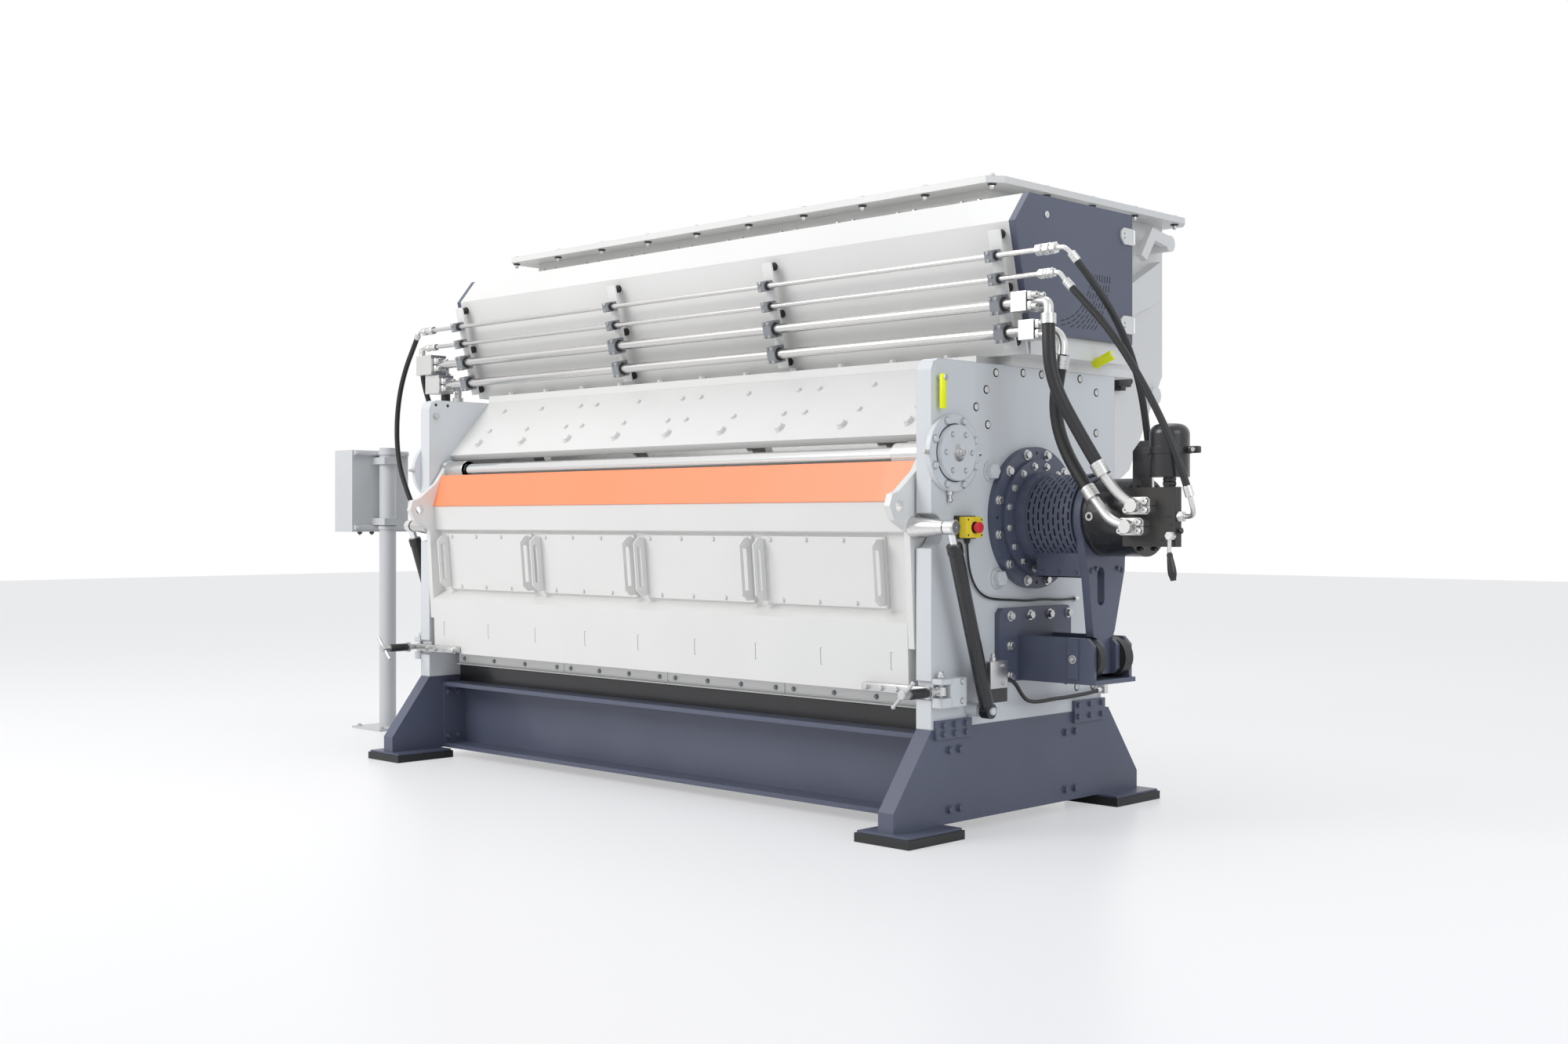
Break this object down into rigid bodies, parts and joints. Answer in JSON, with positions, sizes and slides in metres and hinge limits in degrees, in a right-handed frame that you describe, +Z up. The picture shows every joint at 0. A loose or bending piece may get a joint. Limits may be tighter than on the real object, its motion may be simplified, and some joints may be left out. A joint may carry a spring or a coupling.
{
  "type": "fine shredder",
  "caption": "Single-rotor industrial fine shredder: end frames on a beam base, hopper neck and hood above, drives at both ends, swing-up front door and control post.",
  "frame": {"origin": "on the floor under the middle of the machine, midway between the end frames and between the front and rear feet", "axes": "+X to the right along the rotor seen from the front, +Y to the rear, +Z up"},
  "size_m": [5.6275, 2.207, 2.573],
  "materials": {
    "black_paint": "satin",
    "black_rubber": "matte",
    "body_white": "satin",
    "bright_steel": "satin",
    "mid_grey": "satin",
    "orange": "satin",
    "steel_blue": "satin",
    "yellow_plastic": "satin"
  },
  "bodies": {
    "machine": {"accumulator": "black_paint", "base_beams": "steel_blue", "base_sides": "steel_blue", "bearing_flanges": "steel_blue", "chamber_roof": "body_white", "control_box": "mid_grey", "control_post": "bright_steel", "coupling_guards": "steel_blue", "cylinder_hose_left": "black_rubber", "cylinder_hose_right": "black_rubber", "discharge_skirt": "black_paint", "drive_motors": "black_paint", "duct_arms": "body_white", "emergency_stop": "yellow_plastic", "end_frames": "body_white", "foot_pads": "black_rubber", "frame_brackets": "body_white", "hinge_covers": "body_white", "hood_ends": "steel_blue", "hood_pipes": "bright_steel", "hood_sheet": "body_white", "hose_left_back": "black_rubber", "hose_left_front": "black_rubber", "hose_right_back": "black_rubber", "hose_right_front": "black_rubber", "infeed_rear": "body_white", "infeed_walls": "body_white", "inlet_flange": "body_white", "knife_beam": "body_white", "line_left_lower": "black_rubber", "line_left_upper": "black_rubber", "line_right_lower": "black_rubber", "line_right_upper": "black_rubber", "lock_pins": "yellow_plastic", "pipe_clamps": "mid_grey", "pipe_fittings": "bright_steel", "pipe_rails": "bright_steel", "rear_wall": "body_white", "screen_bars": "bright_steel", "stop_cable": "black_rubber", "torque_arms": "steel_blue", "torque_brackets": "steel_blue", "torque_buffers": "black_rubber", "valve_block": "black_paint"},
    "door": {"door_shell": "body_white", "door_band": "orange", "door_ears": "body_white", "hinge_shaft": "bright_steel", "door_hatches": "body_white", "hatch_handles": "body_white", "door_pins": "bright_steel", "clamp_bars": "body_white"},
    "rotor": {"rotor": "bright_steel"},
    "barrel_right": {"door_barrel_right": "black_paint"},
    "barrel_left": {"door_barrel_left": "black_paint"},
    "rod_right": {"door_rod_right": "bright_steel"},
    "rod_left": {"door_rod_left": "bright_steel"},
    "clamp_right": {"clamp_bolt_right": "bright_steel"},
    "clamp_left": {"clamp_bolt_left": "bright_steel"}
  },
  "joints": [
    {"name": "door_hinge", "type": "hinge", "parent": "machine", "child": "door", "pos_m": [0, -0.478, 1.45], "axis": [-1, 0, 0], "range_deg": [0, 70]},
    {"name": "rotor_spin", "type": "hinge", "parent": "machine", "child": "rotor", "pos_m": [0, 0.038, 1.205], "axis": [1, 0, 0], "continuous": true},
    {"name": "barrel_swing_right", "type": "hinge", "parent": "machine", "child": "barrel_right", "pos_m": [1.766, -0.362, 0.469], "axis": [1, 0, 0], "range_deg": [0, 8]},
    {"name": "rod_slide_right", "type": "slide", "parent": "barrel_right", "child": "rod_right", "axis": [0, -0.3064, 0.9519], "range_m": [0, 0.36]},
    {"name": "clamp_swing_right", "type": "hinge", "parent": "machine", "child": "clamp_right", "pos_m": [1.704, -0.566, 0.553], "axis": [0, 0, 1], "range_deg": [0, 105]},
    {"name": "barrel_swing_left", "type": "hinge", "parent": "machine", "child": "barrel_left", "pos_m": [-1.766, -0.362, 0.469], "axis": [1, 0, 0], "range_deg": [0, 8]},
    {"name": "rod_slide_left", "type": "slide", "parent": "barrel_left", "child": "rod_left", "axis": [0, -0.3064, 0.9519], "range_m": [0, 0.36]},
    {"name": "clamp_swing_left", "type": "hinge", "parent": "machine", "child": "clamp_left", "pos_m": [-1.704, -0.566, 0.553], "axis": [0, 0, -1], "range_deg": [0, 105]}
  ],
  "couplings": [
    {"joint": "barrel_swing_right", "follows": "door_hinge", "ratio": 0.1},
    {"joint": "rod_slide_right", "follows": "door_hinge", "m_per_rad": 0.277},
    {"joint": "clamp_swing_right", "follows": "door_hinge", "ratio": 1.43},
    {"joint": "barrel_swing_left", "follows": "door_hinge", "ratio": 0.1},
    {"joint": "rod_slide_left", "follows": "door_hinge", "m_per_rad": 0.277},
    {"joint": "clamp_swing_left", "follows": "door_hinge", "ratio": 1.43}
  ]
}
